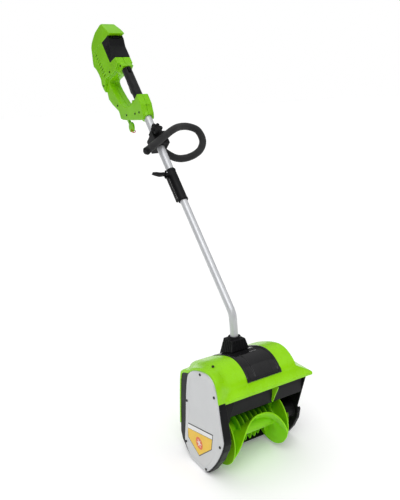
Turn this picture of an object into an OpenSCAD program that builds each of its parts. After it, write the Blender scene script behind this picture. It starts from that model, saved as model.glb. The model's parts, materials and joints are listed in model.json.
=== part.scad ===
// Battery snow blower with a telescoping pole, a front clearing auger and a closed rear handle.
// Frame: X runs across the machine, the mouth faces -Y, the pole leans back to +Y, Z is up.
// The origin is on the floor, straight below the auger axis, midway between the side faces.

/* [Head] */
// Width over the visor and the belt cover side
head_w = 330; // [280:5:400]
// Height of the auger axis above the floor
auger_z = 100; // [90:1:120]
// Outer radius of the auger flights
auger_r = 88; // [70:1:92]
// Radius of the auger core drum
drum_r = 28; // [20:1:40]
// Radius of the thin fins on the core
fin_r = 57; // [45:1:70]
// Radius of the motor dome
dome_r = 85.5; // [80:0.5:90]
// Distance of the dome centre behind the auger axis
dome_y = -5; // [-10:1:5]
// Height of the dome centre above the floor
dome_z = 243; // [235:1:250]
// Height of the motor axis above the floor
motor_z = 240; // [230:1:260]
// Distance of the motor axis behind the auger axis
motor_y = 10; // [0:1:20]
// Skin thickness of the moulded covers
skin = 3; // [2:0.5:4]

/* [Pole] */
// Pole corner, distance behind the auger axis
bend_y = 75; // [60:1:90]
// Pole corner, height above the floor
bend_z = 425; // [380:1:460]
// Lean of the long part of the pole from vertical
lean = 41; // [30:1:55]
// Lean of the short stub under the corner
stub_lean = 4; // [0:1:10]
// Bend radius of the pole corner
bend_r = 50; // [40:1:80]
// Outer diameter of the lower tube
low_od = 24; // [20:0.5:28]
// Outer diameter of the upper tube
up_od = 26.5; // [24:0.5:32]
// Radial running clearance of the sliding tubes
tube_fit = 0.05; // [0.02:0.01:0.1]
// Distance from the corner to the lower end of the coupler
coupler_at = 402; // [300:1:450]
// Length of the coupler sleeve
coupler_len = 121; // [90:1:150]
// Distance from the corner to the second handle clamp
loop_at = 637; // [560:1:680]
// Distance from the corner to the nose of the rear handle
handle_at = 744; // [700:1:800]

/* [Handles] */
// Diameter of the second handle foam tube
loop_d = 25; // [20:1:32]
// Radius of the main grip
grip_r = 17; // [14:0.5:20]
// Half width of the handle shell round the hand
shell_half = 21; // [18:1:26]
// Half width of the battery housing
bay_half = 29.5; // [27:0.5:34]
// Slope of the battery slide
bay_slope = 22.8; // [15:0.2:30]

/* [Drive] */
// Pitch radius of the motor pulley
small_pulley_r = 13; // [10:1:18]
// Pitch radius of the auger pulley
large_pulley_r = 52; // [40:1:60]
// Diameter of the auger shaft
auger_shaft_d = 12; // [10:1:16]
// Diameter of the motor can
motor_d = 62; // [50:1:70]

/* [Hidden] */
$fn = 48;
eps = 0.01;
half_w = head_w / 2;
wall_l = -142;
wall_r = 152;
plate_t = 5;
shell_r = 97;
gap = 0.4;
flight_t = 3;
crest_x = -9;
crest_a = 44;
hub_r = 26;
hub_l = 84;
battery_half = bay_half - 0.5;
core_r = 13;
sleeve_z = 77;
sleeve_len = 136;
trigger_pin_y = 8;
trigger_pin_z = 191;
key_y = 124;
turn = lean - stub_lean;
tangent = bend_r * tan(turn / 2);
low_in = low_od - 3;
up_in = low_od + 2 * tube_fit;
cover_half = 58;
dome_right = 118;
shoulder_in = -124;

// ---- helpers -------------------------------------------------------------

module along_x(x0, len) {
    translate([x0, 0, 0])
        rotate([90, 0, 90])
            linear_extrude(len)
                children();
}

module rod_x(r, x0, x1) {
    translate([x0, 0, 0])
        rotate([0, 90, 0])
            cylinder(r = r, h = x1 - x0);
}

module pole_frame() {
    translate([0, bend_y, bend_z])
        rotate([-lean, 0, 0])
            children();
}

module stub_frame() {
    translate([0, bend_y, bend_z])
        rotate([-stub_lean, 0, 0])
            children();
}

module tube_part(r_out, r_in, z0, z1) {
    translate([0, 0, z0])
        difference() {
            cylinder(r = r_out, h = z1 - z0);
            translate([0, 0, -1])
                cylinder(r = r_in, h = z1 - z0 + 2);
        }
}

// pan head screw with its head on +Z and a cross recess
module screw(head_r, shank_r, len) {
    difference() {
        union() {
            cylinder(r = head_r, h = 2);
            translate([0, 0, -len])
                cylinder(r = shank_r, h = len + eps);
        }
        translate([-head_r * 0.6, -0.5, 1])
            cube([head_r * 1.2, 1, 2]);
        translate([-0.5, -head_r * 0.6, 1])
            cube([1, head_r * 1.2, 2]);
    }
}

// ---- head profiles, drawn in (Y, Z) ---------------------------------------

module dome_outer() {
    translate([dome_y, dome_z])
        circle(r = dome_r);
    polygon([[-62, 274], [15, 326.5], [40, 320.3], [65, 311.5], [91, 301], [115, 290], [126, 280],
        [131, 262], [140, 48], [20, 48], [-58, 250]]);
}

module dome_inner() {
    translate([dome_y, dome_z])
        circle(r = dome_r - skin);
    polygon([[-58, 270], [14, 323.4], [39, 317.2], [64, 308.4], [90, 298], [113.5, 287.2],
        [123, 278.5], [128, 262], [137, 40], [20, 40], [-58, 240]]);
}

module dome_skin() {
    difference() {
        dome_outer();
        dome_inner();
        polygon([[-100, -10], [134, -10], [134, 130], [60, 200], [-52, 262], [-100, 262]]);
    }
}

// cover outline on the belt side
module belt_outline() {
    polygon([[65, 281], [41, 302], [18, 312], [-6, 319], [-30, 323.5], [-50, 324], [-64, 319],
        [-74, 310], [-82, 292], [-86, 277], [-91, 249], [-109, 159], [-110, 152], [-109.5, 143],
        [-101, 120], [-76, 76], [-41, 31], [-24, 14], [-8, 4], [6, 1], [56, 1], [68, 5], [82, 17],
        [93, 29], [101, 43], [103, 55], [95, 107], [85, 188], [77, 241], [72, 266]]);
}

// the moulded case behind the cover, a little larger all round
module case_outline() {
    polygon([[76, 284], [46, 306], [20, 317], [-6, 324], [-30, 328], [-52, 328.5], [-68, 323],
        [-79, 312], [-87, 293], [-91, 278], [-96, 250], [-114, 160], [-115, 152], [-114.5, 142],
        [-106, 117], [-80, 72], [-44, 26], [-26, 8], [-12, 0], [76, 0], [100, 16], [126, 40],
        [134, 62], [128, 180], [112, 272], [96, 280]]);
}

module right_outline() {
    polygon([[-74, 240], [-36, 121], [-41, 111], [-34, 78], [-14, 40], [10, 8], [24, 0], [76, 0],
        [104, 16], [126, 40], [134, 62], [121, 252], [-54, 250]]);
}

// ---- head -----------------------------------------------------------------

// case outline grown about its middle
module grown_outline(k) {
    translate([0, 160])
        scale([k, k])
            translate([0, -160])
                case_outline();
}

// what the hood leaves open in front and below
module hood_open() {
    polygon([[-140, -40], [160, -40], [160, 50], [60, 50], [-40, 236], [-84, 254], [-140, 254]]);
}

module hood() {
    color([0.45, 0.78, 0.05])
        difference() {
            union() {
                // left shoulder, which frames the belt cover
                along_x(-half_w + 1, shoulder_in + half_w - 1)
                    difference() {
                        grown_outline(1.035);
                        grown_outline(1.007);
                        hood_open();
                    }
                along_x(shoulder_in - skin, skin)
                    difference() {
                        grown_outline(1.035);
                        dome_inner();
                        hood_open();
                    }
                along_x(shoulder_in - 1, -shoulder_in + 1 - cover_half - 2)
                    dome_skin();
                // right dome with its closed end
                along_x(cover_half + 2, dome_right - cover_half - 2)
                    dome_skin();
                along_x(dome_right - skin, skin)
                    intersection() {
                        dome_outer();
                        translate([-100, 272])
                            square([260, 80]);
                    }
                corner_deck();
                // back wall that joins both halves behind the black cover
                difference() {
                    along_x(shoulder_in - 1, half_w - shoulder_in + 1)
                        polygon([[117, 272], [125, 279], [131, 262], [140, 50], [137, 50],
                            [128, 258]]);
                    translate([0, 150, 0])
                        rotate([90, 0, 0])
                            linear_extrude(60)
                                polygon([[dome_right, 281], [half_w + 5, 258],
                                    [half_w + 5, 300], [dome_right, 300]]);
                }
                // front visor and its turned down lip
                along_x(-half_w, half_w + dome_right)
                    polygon([[-72, 284], [-77, 281], [-91, 255], [-91, 247], [-88, 247],
                        [-88, 253], [-73, 278.5]]);
                along_x(dome_right - eps, half_w - dome_right + eps)
                    polygon([[-91, 254.5], [-91, 247], [-88, 247], [-88, 254]]);
            }
            // room for the belt case behind the left end of the visor
            along_x(-half_w - 1, half_w + 1 + wall_l)
                grown_outline(1.005);
            // screw hole in the left shoulder
            translate([-135, -22, 290])
                cylinder(r = 2, h = 60);
        }
}

// sloping corner of the hood beside the right dome: X, Y and Z of its top face
deck_top = [[115, -77, 281], [115, -91, 255], [165, -91, 254], [165, 122, 260], [115, 122, 282]];

module corner_deck() {
    n = len(deck_top);
    polyhedron(
        points = concat(deck_top, [for (p = deck_top) p - [0, 0, skin]]),
        faces = concat(
            [[0, 2, 1], [0, 3, 2], [0, 4, 3], [n, n + 1, n + 2], [n, n + 2, n + 3],
                [n, n + 3, n + 4]],
            [for (i = [0 : n - 1]) [i, (i + 1) % n, n + i]],
            [for (i = [0 : n - 1]) [(i + 1) % n, n + (i + 1) % n, n + i]]));
}

module centre_cover() {
    color([0.05, 0.05, 0.06])
        difference() {
            union() {
                along_x(-cover_half, 2 * cover_half)
                    difference() {
                        union() {
                            translate([dome_y, dome_z])
                                circle(r = dome_r - 1);
                            cover_top(1);
                        }
                        union() {
                            translate([dome_y, dome_z])
                                circle(r = dome_r - 1 - skin);
                            cover_top(4);
                        }
                        polygon([[-100, -10], [200, -10], [200, 275], [0, 275], [0, 286.5],
                            [-100, 286.5]]);
                    }
                // raised ribs along both sides
                for (sx = [-1, 1])
                    along_x(sx * (cover_half - 4) - 3, 6)
                        difference() {
                            translate([dome_y, dome_z])
                                circle(r = dome_r + 1.5);
                            translate([dome_y, dome_z])
                                circle(r = dome_r - 3);
                            translate([-100, -10])
                                square([300, 296]);
                            translate([40, 200])
                                square([100, 140]);
                        }
                // raised tongue that ends in a front step
                along_x(-30, 60)
                    difference() {
                        translate([dome_y, dome_z])
                            circle(r = dome_r + 1.2);
                        translate([dome_y, dome_z])
                            circle(r = dome_r - 3);
                        translate([-100, -10])
                            square([300, 302]);
                        translate([14, 200])
                            square([100, 140]);
                    }
            }
            // clearance for the boot base
            translate([0, bend_y - 10, 200])
                cylinder(r = 24, h = 160);
        }
}

// roof line behind the dome, lowered by d
module cover_top(d) {
    polygon([[-58, 270], [15, 326.5 - d], [40, 320.3 - d], [65, 311.5 - d], [91, 301 - d],
        [114, 290.4 - d], [115.5, 284], [115.5, 250], [-58, 250]]);
}

module boot_body() {
    rotate([0, 0, 45])
        cylinder(r1 = 53.4, r2 = 33, h = 64, $fn = 4);
}

module neck_boot() {
    color([0.06, 0.06, 0.07])
        difference() {
            union() {
                stub_frame()
                    translate([0, 0, -139])
                        boot_body();
                stub_frame()
                    translate([0, 0, -80])
                        cylinder(r = 19, h = 12);
            }
            // hollow that fits over the dome
            translate([0, dome_y, dome_z])
                rod_x(dome_r + 1.6, -80, 80);
            along_x(-80, 160)
                polygon([[-5, 330], [15, 327.2], [40, 320.8], [65, 311.9], [91, 301.4],
                    [115, 290.4], [150, 262], [150, 200], [-60, 200]]);
            // bore for the lower tube
            stub_frame()
                translate([0, 0, -150])
                    cylinder(r = low_od / 2 + 0.3, h = 120);
            // flutes in the four faces
            for (side = [-1, 1])
                for (k = [-2 : 2])
                    stub_frame()
                        translate([k * 9, side * 36.8, -136])
                            rotate([side * 12.7, 0, 0])
                                cylinder(r = 2.4, h = 60);
            for (side = [-1, 1])
                for (k = [-2 : 2])
                    stub_frame()
                        translate([side * 36.8, k * 9, -136])
                            rotate([0, -side * 12.7, 0])
                                cylinder(r = 2.4, h = 60);
        }
}

module shell_profile() {
    difference() {
        union() {
            translate([0, auger_z])
                circle(r = shell_r + skin);
            polygon([[-58, 178], [-61, 248], [-58, 248], [-50, 186]]);
        }
        translate([0, auger_z])
            circle(r = shell_r);
        // open front and floor side
        polygon([[-120, -20], [-120, 300], [-66, 300], [-64, 248], [-55, 181], [0, 100], [52, -20]]);
    }
}

module chamber_shell() {
    color([0.07, 0.07, 0.08])
        difference() {
            union() {
                along_x(wall_l + gap, wall_r - wall_l - 2 * gap)
                    shell_profile();
                // heel that carries the scraper
                along_x(wall_l + gap, wall_r - wall_l - 2 * gap)
                    difference() {
                        polygon([[50, 8], [54, 24], [88, 62], [97, 100], [128, 60], [122, 44],
                            [98, 18], [80, 8]]);
                        translate([0, auger_z])
                            circle(r = shell_r);
                        polygon([[90, 24], [112, 46], [112, 60], [101, 82], [92, 56], [72, 30]]);
                    }
                // flange under the motor
                along_x(wall_l + gap, wall_r - wall_l - 2 * gap)
                    polygon([[8, 199], [8, 202], [116, 202], [116, 199]]);
            }
            // screw holes of the scraper
            for (x = [-110, -40, 40, 110])
                translate([x, 72, -1])
                    cylinder(r = 2, h = 30);
        }
}

module deflector_vanes() {
    color([0.45, 0.8, 0.05])
        for (x = [40])
            along_x(x, 2.5)
                difference() {
                    polygon([[-88, 242], [-62, 242], [-55, 184], [-60, 184]]);
                    translate([0, auger_z])
                        circle(r = auger_r + 4);
                }
}

module right_side_plate() {
    color([0.06, 0.06, 0.07])
        difference() {
            union() {
                along_x(wall_r, plate_t)
                    right_outline();
                // thick rolled lower edge
                along_x(wall_r, 12)
                    difference() {
                        right_outline();
                        polygon([[-40, 121], [-29, 110], [-22, 82], [-4, 48], [18, 20], [30, 9],
                            [72, 9], [97, 24], [117, 45], [125, 64], [115, 256], [-50, 256],
                            [-100, 300], [-100, 121]]);
                        translate([-120, 122])
                            square([300, 200]);
                    }
                // bearing boss outside and the long hub inside
                translate([0, 0, auger_z])
                    rod_x(22, wall_r, wall_r + 13);
                translate([0, 0, auger_z])
                    rod_x(hub_r, hub_l, wall_r + eps);
                for (a = [30 : 60 : 330])
                    translate([0, 0, auger_z])
                        rotate([a, 0, 0])
                            translate([wall_r + 1, -1.5, 18])
                                cube([8, 3, 22]);
            }
            translate([0, 0, auger_z])
                rod_x(14, wall_r - 1, wall_r + 10);
            translate([0, 0, auger_z])
                rod_x(hub_r - 4, hub_l + 3, wall_r - 4);
            translate([0, 0, auger_z])
                rod_x(auger_shaft_d / 2 + 1.5, hub_l - 1, wall_r);
        }
}

module left_side_plate() {
    color([0.06, 0.06, 0.07])
        difference() {
            union() {
                along_x(wall_l - plate_t, plate_t)
                    case_outline();
                // rim of the belt case
                along_x(-half_w + 1.5, half_w - 1.5 + wall_l - 1)
                    difference() {
                        case_outline();
                        polygon([[58, 276], [38, 295], [-6, 311], [-30, 315], [-48, 316],
                            [-60, 311], [-68, 302], [-77, 275], [-82, 248], [-101, 156],
                            [-101, 146], [-93, 123], [-68, 81], [-35, 38], [-16, 19], [0, 11],
                            [8, 9], [54, 9], [64, 13], [86, 35], [93, 46], [95, 57], [87, 107],
                            [77, 188], [69, 240], [64, 264]]);
                    }
                // front fairing that closes the corner beside the auger
                along_x(wall_l - 1, 6)
                    polygon([[-78, 238], [-64, 238], [-64, 120], [-92, 120]]);
                difference() {
                    translate([wall_l - 1, -66.4, 120])
                        cube([46, 3, 118]);
                    translate([wall_l + 3, -68, 110])
                        rotate([0, 20.5, 0])
                            cube([60, 8, 150]);
                }
                translate([0, 0, auger_z])
                    rod_x(20, wall_l - 10, wall_l);
            }
            // auger shaft bearing seat and motor shaft hole
            translate([0, 0, auger_z])
                rod_x(14, wall_l - 11, wall_l + 1);
            translate([0, motor_y, motor_z])
                rod_x(18, wall_l - 10, wall_l + 3);
        }
}

module belt_cover() {
    color([0.83, 0.84, 0.84])
        difference() {
            union() {
                along_x(-half_w - 3, 4)
                    belt_outline();
            }
            // recessed inner field
            along_x(-half_w - 4, 2)
                polygon([[52, 272], [32, 288], [-6, 301], [-30, 305], [-46, 305], [-58, 298],
                    [-68, 272], [-73, 246], [-92, 154], [-84, 126], [-60, 87], [-28, 45],
                    [-12, 28], [8, 19], [52, 19], [64, 26], [80, 42], [85, 58], [77, 106],
                    [67, 188], [60, 238]]);
            for (p = cover_screws)
                translate([-half_w - 5, p[0], p[1]])
                    rotate([0, 90, 0])
                        cylinder(r = 2.1, h = 10);
        }
}

// screw places of the belt cover in (Y, Z)
cover_screws = [[-6, 311], [-76, 272], [77, 193], [-97, 131], [-17, 16], [94, 49]];

module cover_badge() {
    color([0.95, 0.78, 0.1])
        difference() {
            along_x(-half_w - 2.4, 0.8)
                polygon([[80, 117], [-60, 151], [-50, 97], [21, 37], [82, 68]]);
        }
}

module scraper_bar() {
    color([0.1, 0.1, 0.11])
        difference() {
            along_x(wall_l + 4, wall_r - wall_l - 8)
                polygon([[46, 4.5], [58, 2.5], [94, 2.5], [94, 7.6], [58, 7.6], [48, 6.5]]);
            for (x = [-110, -40, 40, 110])
                translate([x, 72, -1])
                    cylinder(r = 2.2, h = 30);
        }
}

module head_screws() {
    color([0.12, 0.12, 0.13]) {
        for (p = cover_screws)
            translate([-half_w - 3, p[0], p[1]])
                rotate([0, -90, 0])
                    screw(4, 1.9, 5);
        for (x = [-110, -40, 40, 110])
            translate([x, 72, 2.5])
                rotate([180, 0, 0])
                    screw(3.6, 1.9, 9);
        translate([-135, -22, 332])
            rotate([9, 0, 0])
                screw(4, 1.8, 5.5);
    }
}

module pole_socket() {
    color([0.1, 0.1, 0.11])
        difference() {
            union() {
                stub_frame()
                    translate([0, 0, -190])
                        cylinder(r = 17, h = 48);
                // foot bolted on the flange above the auger chamber
                translate([-34, 45, 202])
                    cube([68, 53, 6]);
                for (sx = [-1, 1])
                    translate([sx * 24 - 2, 46, 207])
                        cube([4, 48, 34]);
                translate([-26, 60, 207])
                    cube([52, 5, 38]);
            }
            stub_frame()
                translate([0, 0, -215])
                    cylinder(r = low_od / 2, h = 120);
            for (sx = [-1, 1])
                translate([sx * 29, 64, 190])
                    cylinder(r = 2, h = 30);
        }
}

// ---- drive ----------------------------------------------------------------

disc_l = -112.5;
disc_r = 76.5;
fin_x = -66;
fin_pitch = 17;

motor_l = -116;
motor_r = -6;
pulley_l = -161.5;
pulley_r = -152.6;

module motor_can() {
    color([0.35, 0.36, 0.38])
        translate([0, motor_y, motor_z])
            difference() {
                union() {
                    rod_x(motor_d / 2, motor_l, motor_r);
                    rod_x(9, motor_r - eps, motor_r + 5);
                }
                rod_x(motor_d / 2 - 2, motor_l + 3, motor_r - 3);
                rod_x(4, motor_l - 1, motor_l + 4);
                rod_x(4, motor_r - 4, motor_r + 4);
            }
}

module motor_bracket() {
    color([0.5, 0.51, 0.53])
        difference() {
            union() {
                // face plate on the belt side and its foot
                translate([motor_l - 3.3, motor_y - 33, 202.4])
                    cube([3, 66, 68]);
                translate([motor_l - 3.3, motor_y - 33, 202.4])
                    cube([100, 66, 3]);
            }
            translate([0, motor_y, motor_z])
                rod_x(9, motor_l - 5, motor_l + 1);
        }
}

module motor_rotor() {
    color([0.72, 0.73, 0.75])
        translate([0, motor_y, motor_z])
            union() {
                rod_x(3.95, pulley_l + 0.5, motor_r + 3.5);
                rod_x(22, motor_l + 18, motor_r - 22);
            }
}

module pulley(r, bore_r) {
    difference() {
        union() {
            rod_x(r - 0.4, pulley_l, pulley_r);
            rod_x(r + 1.6, pulley_l, pulley_l + 0.8);
            rod_x(r + 1.6, pulley_r - 0.8, pulley_r);
        }
        rod_x(bore_r, pulley_l - 1, pulley_r + 1);
    }
}

module small_pulley() {
    color([0.15, 0.15, 0.16])
        translate([0, motor_y, motor_z])
            pulley(small_pulley_r, 3.95);
}

module large_pulley() {
    color([0.15, 0.15, 0.16])
        translate([0, 0, auger_z])
            difference() {
                pulley(large_pulley_r, auger_shaft_d / 2);
                // lightening holes between the spokes
                for (a = [30 : 60 : 330])
                    rotate([a, 0, 0])
                        translate([0, 0, 30])
                            rod_x(10, pulley_l - 1, pulley_r + 1);
            }
}

belt_run = norm([motor_y, motor_z - auger_z]);
belt_dir = atan2(motor_z - auger_z, motor_y);
belt_wrap = acos((large_pulley_r - small_pulley_r) / belt_run);
belt_steps = 28;

// outline of the belt round both pulleys
module belt_area(extra) {
    polygon([
        for (k = [0 : belt_steps])
            let (a = belt_dir + belt_wrap + k * (360 - 2 * belt_wrap) / belt_steps)
            [(large_pulley_r + extra) * cos(a), auger_z + (large_pulley_r + extra) * sin(a)],
        for (k = [0 : belt_steps])
            let (a = belt_dir - belt_wrap + k * 2 * belt_wrap / belt_steps)
            [motor_y + (small_pulley_r + extra) * cos(a),
                motor_z + (small_pulley_r + extra) * sin(a)]
    ]);
}

module drive_belt() {
    color([0.08, 0.08, 0.08])
        along_x(pulley_l + 1.1, pulley_r - pulley_l - 2.2)
            difference() {
                belt_area(2.6);
                belt_area(0.2);
            }
}

module bearing(x0) {
    translate([0, 0, auger_z])
        difference() {
            rod_x(13.95, x0, x0 + 8);
            rod_x(auger_shaft_d / 2 + 0.03, x0 - 1, x0 + 9);
            difference() {
                rod_x(11.5, x0 - 1, x0 + 1);
                rod_x(8.5, x0 - 1, x0 + 1);
            }
        }
}

module bearing_left() {
    color([0.75, 0.76, 0.78])
        bearing(wall_l - 9);
}

module bearing_right() {
    color([0.75, 0.76, 0.78])
        bearing(wall_r + 1);
}

module auger_shaft() {
    color([0.75, 0.76, 0.78])
        translate([0, 0, auger_z])
            rod_x(auger_shaft_d / 2, pulley_l - 1.9, wall_r + 9.6);
}

module auger_nut() {
    color([0.7, 0.71, 0.73])
        translate([0, 0, auger_z])
            difference() {
                translate([pulley_l - 1.8, 0, 0])
                    rotate([0, 90, 0])
                        cylinder(r = 11, h = 1.8, $fn = 6);
                rod_x(auger_shaft_d / 2, pulley_l - 3, pulley_l + 1);
            }
}

// angle of the flight edge at x, measured up from straight ahead
function edge_angle(x) = x < crest_x
    ? crest_a - 28 * pow((crest_x - x) / 68, 2.2)
    : crest_a - 56 * pow((x - crest_x) / 85, 3);

// sideways slope of the flight at x and radius r
function edge_slope(x, r) = r * (edge_angle(x + 0.5) - edge_angle(x - 0.5)) * PI / 180;

// corner of the flight section at x, radius r, on side s of the wall
function flight_point(x, r, s, turned) =
    let (slope = edge_slope(x, r))
    let (k = s * flight_t / 2 / sqrt(1 + slope * slope))
    let (a = edge_angle(x) + turned + k / r * 180 / PI)
    [x - k * slope, -r * cos(a), r * sin(a)];

// curved paddle that rises to a crest between the discs
module flight(x0, x1, steps, r0, r1, turned) {
    points = [for (i = [0 : steps])
        let (x = x0 + (x1 - x0) * i / steps)
        each [flight_point(x, r0, -1, turned), flight_point(x, r1, -1, turned),
            flight_point(x, r1, 1, turned), flight_point(x, r0, 1, turned)]];
    sides = [for (i = [0 : steps - 1])
        for (k = [0 : 3])
            let (a = 4 * i + k, b = 4 * i + (k + 1) % 4)
            each [[a, b, b + 4], [a, b + 4, a + 4]]];
    last = 4 * steps;
    polyhedron(points = points, convexity = 6,
        faces = concat(sides, [[3, 2, 1], [3, 1, 0], [last, last + 1, last + 2],
            [last, last + 2, last + 3]]));
}

// flat web between a disc and the drum
module web(x_disc, x_end, a, r_disc, r_in) {
    rotate([a + 90, 0, 0])
        rotate([90, 0, 0])
            translate([0, 0, -1.25])
                linear_extrude(2.5)
                    polygon([[x_disc, -r_in], [x_disc, -r_disc], [x_end, -r_in - 1],
                        [x_end, -r_in]]);
}

module auger_drum() {
    color([0.5, 0.86, 0.05])
        translate([0, 0, auger_z])
            difference() {
                rod_x(drum_r, wall_l + 12, disc_r + 3);
                rod_x(auger_shaft_d / 2, wall_l, wall_r);
                // hollow of the drum, open at the right end
                difference() {
                    rod_x(drum_r - 3.5, wall_l + 16, wall_r);
                    rod_x(10, wall_l + 8, wall_r + 1);
                }
            }
}

// thin fins on the drum, each a sector behind its flight
module auger_fins() {
    color([0.5, 0.86, 0.05])
        translate([0, 0, auger_z])
            for (side = [0, 180])
                for (k = [0 : 7])
                    let (x = fin_x + fin_pitch * k, a = edge_angle(x) + 4)
                    rotate([side - a, 0, 0])
                        along_x(x - 1, 2)
                            difference() {
                                intersection() {
                                    circle(r = fin_r);
                                    polygon([[0, 0], [-120, 0], [-120, 120], [0, 120], [21, 120]]);
                                }
                                circle(r = drum_r);
                            }
}

module auger_discs() {
    color([0.5, 0.86, 0.05])
        translate([0, 0, auger_z])
            for (x = [disc_l, disc_r])
                difference() {
                    rod_x(auger_r, x - 1.5, x + 1.5);
                    rod_x(drum_r, x - 2, x + 2);
                }
}

module auger_flights() {
    color([0.5, 0.86, 0.05])
        translate([0, 0, auger_z])
            for (side = [0, 180])
                flight(disc_l + 1.6, disc_r - 1.6, 26, drum_r + 0.1, auger_r - 0.5, side);
}

// gussets outside both discs and inside the right one
module auger_webs() {
    color([0.5, 0.86, 0.05])
        translate([0, 0, auger_z])
            difference() {
                union() {
                    for (a = [15, 105, 195, 285])
                        web(disc_l - 1.5, wall_l + 13, a, auger_r - 6, drum_r);
                    for (a = [190, 10])
                        web(disc_r + 1.5, hub_l + 40, a, auger_r - 4, hub_r + 2);
                    for (a = [77, 257])
                        web(disc_r - 1.5, 54, a, auger_r - 6, drum_r);
                }
                rod_x(drum_r, wall_l, disc_r + 4);
            }
}

// ---- pole -----------------------------------------------------------------

module bend_part(r_out, r_in) {
    inner_y = bend_y - tangent * sin(stub_lean) + bend_r * cos(stub_lean);
    inner_z = bend_z - tangent * cos(stub_lean) - bend_r * sin(stub_lean);
    translate([0, inner_y, inner_z])
        rotate([0, 90, 0])
            rotate([0, 0, -90 - lean])
                rotate_extrude(angle = turn)
                    translate([bend_r, 0])
                        difference() {
                            circle(r = r_out);
                            circle(r = r_in);
                        }
}

module lower_tube() {
    color([0.8, 0.81, 0.83])
        union() {
            stub_frame()
                tube_part(low_od / 2, low_in / 2, -186, -tangent);
            bend_part(low_od / 2, low_in / 2);
            pole_frame()
                tube_part(low_od / 2, low_in / 2, tangent, coupler_at + 190);
            // swaged beads where the bend begins and ends
            stub_frame()
                tube_part(low_od / 2 + 0.3, low_in / 2 + 0.3, -tangent - 1.5, -tangent + 1.5);
            pole_frame()
                tube_part(low_od / 2 + 0.3, low_in / 2 + 0.3, tangent - 1.5, tangent + 1.5);
        }
}

tube_bottom = coupler_at + 60;

module upper_tube() {
    color([0.82, 0.83, 0.85])
        pole_frame()
            tube_part(up_od / 2, up_in / 2, tube_bottom, handle_at + 62);
}

module coupler_sleeve() {
    color([0.06, 0.06, 0.07])
        pole_frame()
            difference() {
                union() {
                    translate([0, 0, coupler_at])
                        cylinder(r = up_od / 2 + 2.5, h = coupler_len);
                    translate([0, 0, coupler_at + coupler_len - 8])
                        cylinder(r = up_od / 2 + 3.5, h = 6);
                    translate([0, 0, coupler_at + 2])
                        cylinder(r = up_od / 2 + 3.5, h = 5);
                    // ears of the lever
                    for (sy = [-1, 1])
                        translate([-26, sy * 8 - 2, coupler_at + 96])
                            cube([16, 4, 20]);
                }
                translate([0, 0, coupler_at - 1])
                    cylinder(r = low_od / 2 + tube_fit, h = 63);
                translate([0, 0, tube_bottom])
                    cylinder(r = up_od / 2, h = coupler_len);
                // clamping slot
                translate([-30, -1, coupler_at - 1])
                    cube([30, 2, 84]);
                translate([-21, 0, coupler_at + 108])
                    rotate([90, 0, 0])
                        cylinder(r = 2.03, h = 40, center = true);
            }
}

module clamp_strap() {
    color([0.09, 0.09, 0.1])
        pole_frame() {
            difference() {
                translate([-24.5, -4.5, coupler_at + 2])
                    cube([3.2, 9, 92]);
                translate([-24.5, 0, coupler_at + 40])
                    rotate([90, 0, 0])
                        cylinder(r = 1.5, h = 20, center = true);
            }
            translate([-21, 0, coupler_at + 4])
                rotate([90, 0, 0])
                    cylinder(r = 4, h = 9, center = true);
        }
}

module clamp_lever() {
    color([0.06, 0.06, 0.07])
        pole_frame()
            translate([-21, 0, coupler_at + 108])
                difference() {
                    union() {
                        rotate([90, 0, 0])
                            cylinder(r = 4.9, h = 11.2, center = true);
                        // thumb leaf, swept slightly upwards
                        rotate([90, 0, 0])
                            translate([0, 0, -5.6])
                                linear_extrude(11.2)
                                    polygon([[-2, -4.6], [-2, 4.6], [-20, 5.5], [-32, 9], [-46, 10],
                                        [-48, 7.5], [-38, 1], [-24, -5]]);
                    }
                    rotate([90, 0, 0])
                        cylinder(r = 2.06, h = 40, center = true);
                }
}

module lever_pin() {
    color([0.7, 0.71, 0.73])
        pole_frame()
            translate([-21, 0, coupler_at + 108])
                rotate([90, 0, 0])
                    cylinder(r = 2.03, h = 20, center = true);
}

module pole_cable() {
    color([0.05, 0.05, 0.05])
        pole_frame()
            union() {
                translate([0, 0, handle_at - 46])
                    linear_extrude(height = 80, twist = -1440, slices = 80, $fn = 10)
                        translate([7.2, 0])
                            circle(r = 2.4, $fn = 10);
                translate([7.2, 0, handle_at + 34 - eps])
                    cylinder(r = 2.2, h = 24);
            }
}

// ---- second handle ----------------------------------------------------------

// centre line of the bent tube: X, Y and distance along the pole from the clamp
loop_points = [[-70, -30, -50], [-30, -30, -26], [10, -30, -2], [50, -29, 22], [88, -21, 40],
    [130, -11, 46], [167, -2, 33], [176, 8, -3], [157, 15, -34], [124, 20, -52], [88, 26, -57],
    [60, 30, -50], [38, 31, -32], [22, 31, -10]];
loop_steps = 3;
loop_sides = 20;

function loop_point(i) = loop_points[max(0, min(len(loop_points) - 1, i))];
function curve_at(i, t) =
    let (a = loop_point(i - 1), b = loop_point(i), c = loop_point(i + 1), d = loop_point(i + 2))
    0.5 * (2 * b + (c - a) * t + (2 * a - 5 * b + 4 * c - d) * t * t
        + (3 * b - a - 3 * c + d) * t * t * t);
function unit(v) = v / norm(v);
loop_path = [
    for (i = [0 : len(loop_points) - 2])
        for (k = [0 : loop_steps - 1])
            curve_at(i, k / loop_steps),
    loop_points[len(loop_points) - 1]
];

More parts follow.
